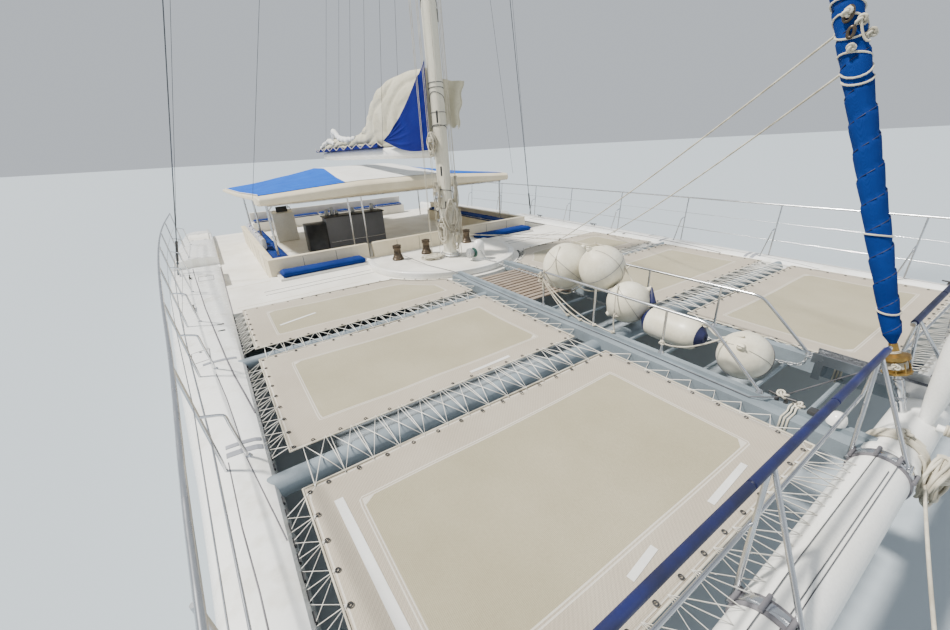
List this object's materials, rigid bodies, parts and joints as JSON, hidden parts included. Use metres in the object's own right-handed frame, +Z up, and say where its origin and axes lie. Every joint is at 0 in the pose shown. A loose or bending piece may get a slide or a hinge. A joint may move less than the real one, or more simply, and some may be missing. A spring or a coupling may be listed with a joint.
{
  "type": "sailing catamaran",
  "caption": "Sailing catamaran with two slim hulls, open deck under a hardtop, trampoline nets, centre walkway, mast, boom with lowered mainsail and furled headsail.",
  "frame": {"origin": "on the centreline at the waterline, amidships", "axes": "+X forward to the bows, +Y to port, +Z up along the height of the mast"},
  "size_m": [24.2, 12.8836, 29.99],
  "materials": {
    "gelcoat": "gloss white gelcoat, slightly weathered",
    "deck": "off-white deck paint, matte",
    "alloy": "anodised, satin",
    "white_alloy": "weathered white paint",
    "stainless": "polished stainless steel",
    "netting": "woven, matte",
    "teak": "bare and weathered",
    "blue_cloth": "acrylic canvas, matte",
    "sailcloth": "woven, matte",
    "fender": "soft vinyl, semi-matte",
    "dark": "satin",
    "bronze": "satin bronze",
    "galvanised": "galvanised, dull",
    "antifouling": "matte bottom paint",
    "engine": "painted, satin"
  },
  "bodies": {
    "platform": {"hull_starboard": "gelcoat", "hull_port": "gelcoat", "cockpit_coaming": "gelcoat", "mast_platform": "gelcoat", "helm_console": "gelcoat", "main_deck": "deck", "middle_crossbeam": "alloy", "aft_crossbeam": "alloy", "walkway_frame": "alloy", "front_crossbeam": "white_alloy", "mast": "white_alloy", "striker_post": "white_alloy", "bowsprit": "white_alloy", "windlass": "white_alloy", "roof_frame": "stainless", "anchor_roller": "stainless", "stay_foot": "stainless", "stay_head": "stainless", "walkway_rail_starboard": "stainless", "walkway_rail_port": "stainless", "beam_rail_starboard": "stainless", "beam_rail_port": "stainless", "guard_rail_starboard": "stainless", "guard_rail_port": "stainless", "shroud_starboard": "stainless", "shroud_port": "stainless", "net_front_starboard": "netting", "net_front_port": "netting", "net_middle_starboard": "netting", "net_middle_port": "netting", "net_aft_starboard": "netting", "net_aft_port": "netting", "walkway_grating": "teak", "aft_cushion": "blue_cloth", "bench_cushion_starboard": "blue_cloth", "bench_cushion_port": "blue_cloth", "side_cushion_starboard": "blue_cloth", "side_cushion_port": "blue_cloth", "hardtop": "sailcloth", "fender_string": "fender", "bar_counter": "dark", "shaft_strut_starboard": "bronze", "shaft_strut_port": "bronze", "anchor": "galvanised", "engine_starboard": "engine", "engine_port": "engine"},
    "boom": {"boom": "white_alloy", "mainsail": "sailcloth", "sail_cover": "blue_cloth"},
    "furler": {"furled_headsail": "blue_cloth", "furler_drum": "bronze"},
    "steering_wheel": {"steering_wheel": "stainless"},
    "rudder_starboard": {"rudder_starboard": "antifouling"},
    "rudder_port": {"rudder_port": "antifouling"},
    "propeller_starboard": {"propeller_starboard": "bronze"},
    "propeller_port": {"propeller_port": "bronze"},
    "engine_hatch_starboard": {"engine_hatch_starboard": "gelcoat"},
    "engine_hatch_port": {"engine_hatch_port": "gelcoat"}
  },
  "joints": [
    {"name": "boom_swing", "type": "hinge", "parent": "platform", "child": "boom", "pos_m": [0.82, 0, 4.22], "axis": [0, 0, 1], "range_deg": [-50, 50]},
    {"name": "furler_turn", "type": "hinge", "parent": "platform", "child": "furler", "pos_m": [9.676, 0, 2.04], "axis": [-0.3427, 0, 0.9394], "continuous": true},
    {"name": "rudder_starboard_steer", "type": "hinge", "parent": "platform", "child": "rudder_starboard", "pos_m": [-10.25, -5.735, -0.4], "axis": [0, 0, 1], "range_deg": [-35, 35]},
    {"name": "rudder_port_steer", "type": "hinge", "parent": "platform", "child": "rudder_port", "pos_m": [-10.25, 5.735, -0.4], "axis": [0, 0, 1], "range_deg": [-35, 35]},
    {"name": "wheel_turn", "type": "hinge", "parent": "platform", "child": "steering_wheel", "pos_m": [-7.17, -2.75, 2.2], "axis": [1, 0, 0], "range_deg": [-420, 420]},
    {"name": "propeller_starboard_turn", "type": "hinge", "parent": "platform", "child": "propeller_starboard", "pos_m": [-9.35, -5.735, -0.835], "axis": [-0.9848, 0, -0.1739], "continuous": true},
    {"name": "engine_hatch_starboard_lift", "type": "hinge", "parent": "platform", "child": "engine_hatch_starboard", "pos_m": [-8.088, -5.66, 1.4903], "axis": [0, 1, 0], "range_deg": [0, 80]},
    {"name": "propeller_port_turn", "type": "hinge", "parent": "platform", "child": "propeller_port", "pos_m": [-9.35, 5.735, -0.835], "axis": [-0.9848, 0, -0.1739], "continuous": true},
    {"name": "engine_hatch_port_lift", "type": "hinge", "parent": "platform", "child": "engine_hatch_port", "pos_m": [-8.088, 5.66, 1.4903], "axis": [0, 1, 0], "range_deg": [0, 80]}
  ],
  "couplings": [
    {"joint": "rudder_port_steer", "follows": "rudder_starboard_steer", "ratio": 1},
    {"joint": "wheel_turn", "follows": "rudder_starboard_steer", "ratio": 12}
  ]
}
